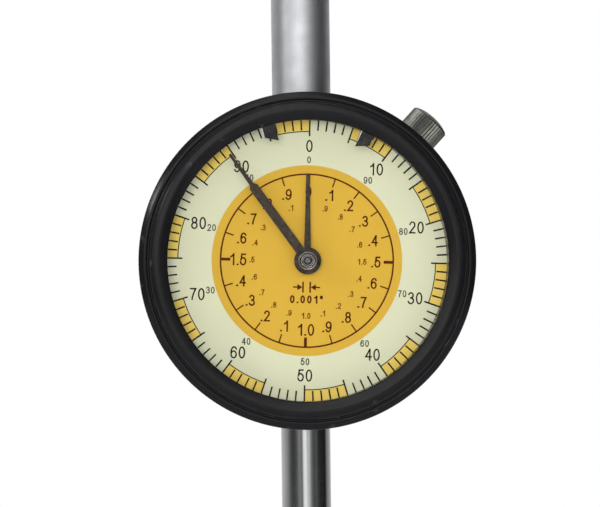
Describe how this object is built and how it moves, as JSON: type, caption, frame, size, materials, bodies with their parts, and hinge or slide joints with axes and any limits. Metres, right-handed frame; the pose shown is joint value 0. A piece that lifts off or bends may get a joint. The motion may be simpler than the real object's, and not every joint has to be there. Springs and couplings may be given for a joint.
{
  "type": "dial indicator",
  "caption": "Plunger-type dial indicator with a long travel, a revolution-counting centre hand, a turning bezel with limit markers, a mounting stem and a lug back.",
  "frame": {"origin": "on the spindle axis at mid-length of the exposed mounting stem", "axes": "+Z along the spindle away from the contact point, -Y the way the dial faces, +X to the right of the dial"},
  "size_m": [0.0634, 0.0417, 0.2234],
  "materials": {
    "black_enamel": "gloss",
    "black_steel": "satin",
    "brass": "satin",
    "bronze": "satin",
    "carbide": "polished",
    "case_enamel": "satin",
    "crystal": "clear",
    "dial_paint": "satin",
    "gasket": "matt",
    "hand_finish": "satin",
    "nickel": "satin",
    "polished_steel": "polished",
    "ruby": "gloss",
    "satin_chrome": "satin",
    "spring_steel": "satin"
  },
  "bodies": {
    "housing": {"case_body": "case_enamel", "back_gasket": "gasket", "back_cover": "case_enamel", "back_cover_screws": "polished_steel", "stem": "polished_steel", "stem_bush": "bronze", "upper_tube": "satin_chrome", "upper_bush": "bronze", "tube_cap": "satin_chrome", "return_spring": "spring_steel", "guide_rail": "polished_steel", "guide_rail_screws": "polished_steel", "movement_plate": "brass", "movement_pillars": "brass", "movement_screws": "polished_steel", "bridge_posts": "brass", "rear_bridge": "brass", "rear_bridge_screws": "polished_steel", "jewel_bearings": "ruby", "centre_bearing": "brass", "hairspring": "spring_steel", "hairspring_stud": "polished_steel"},
    "plunger": {"spindle": "polished_steel", "contact_point": "polished_steel", "contact_ball": "carbide", "guide_pin": "polished_steel", "spring_seat": "brass"},
    "first_shaft": {"rack_pinion_arbor": "polished_steel", "transmission_wheel": "brass", "transmission_hub": "brass", "count_drive_pinion": "polished_steel"},
    "centre_shaft": {"centre_arbor": "polished_steel", "long_hand": "hand_finish", "long_hand_boss": "nickel"},
    "count_shaft": {"count_wheel": "brass", "count_pipe": "brass", "count_hand": "hand_finish"},
    "takeup_shaft": {"takeup_arbor": "polished_steel", "takeup_wheel": "brass", "hairspring_collet": "brass"},
    "bezel_group": {"bezel": "black_enamel", "crystal": "crystal", "crystal_spacer": "black_steel", "dial_plate": "dial_paint", "dial_retainer": "black_steel", "bezel_snap_ring": "spring_steel"},
    "left_marker": {"limit_marker_left": "black_steel"},
    "right_marker": {"limit_marker_right": "black_steel"},
    "clamp_jaw": {"clamp_strip": "nickel"},
    "clamp_screw": {"clamp_knob": "nickel"}
  },
  "joints": [
    {"name": "spindle_slide", "type": "slide", "parent": "housing", "child": "plunger", "axis": [0, 0, 1], "range_m": [0, 0.0515], "stiffness_N_per_m": 31.9, "springref_m": -0.03, "deforming": ["return_spring"]},
    {"name": "first_shaft_turn", "type": "hinge", "parent": "housing", "child": "first_shaft", "pos_m": [-0.00402, 0, 0.05271], "axis": [0, 1, 0], "range_deg": [-1217, 0]},
    {"name": "long_hand_turn", "type": "hinge", "parent": "housing", "child": "centre_shaft", "pos_m": [0, 0, 0.043], "axis": [0, 1, 0], "range_deg": [0, 7300]},
    {"name": "count_hand_turn", "type": "hinge", "parent": "housing", "child": "count_shaft", "pos_m": [0, 0, 0.043], "axis": [0, 1, 0], "range_deg": [0, 365.2]},
    {"name": "takeup_turn", "type": "hinge", "parent": "housing", "child": "takeup_shaft", "pos_m": [0.00833, 0, 0.03659], "axis": [0, 1, 0], "range_deg": [-1217, 0]},
    {"name": "bezel_turn", "type": "hinge", "parent": "housing", "child": "bezel_group", "pos_m": [0, 0, 0.043], "axis": [0, 1, 0], "continuous": true},
    {"name": "left_marker_turn", "type": "hinge", "parent": "bezel_group", "child": "left_marker", "pos_m": [0, 0, 0.043], "axis": [0, 1, 0], "range_deg": [-120, 10]},
    {"name": "right_marker_turn", "type": "hinge", "parent": "bezel_group", "child": "right_marker", "pos_m": [0, 0, 0.043], "axis": [0, 1, 0], "range_deg": [-20, 120]},
    {"name": "clamp_slide", "type": "slide", "parent": "housing", "child": "clamp_jaw", "axis": [-0.682, 0, -0.7314], "range_m": [0, 0.00045]},
    {"name": "clamp_knob_turn", "type": "hinge", "parent": "clamp_jaw", "child": "clamp_screw", "pos_m": [0.0208, -0.001, 0.06531], "axis": [-0.682, 0, -0.7314], "range_deg": [0, 360.5]}
  ],
  "couplings": [
    {"joint": "first_shaft_turn", "follows": "spindle_slide", "rad_per_m": -412.28},
    {"joint": "long_hand_turn", "follows": "spindle_slide", "rad_per_m": 2473.7},
    {"joint": "count_hand_turn", "follows": "spindle_slide", "rad_per_m": 123.68},
    {"joint": "takeup_turn", "follows": "spindle_slide", "rad_per_m": -412.28},
    {"joint": "clamp_knob_turn", "follows": "clamp_slide", "rad_per_m": 13963}
  ]
}
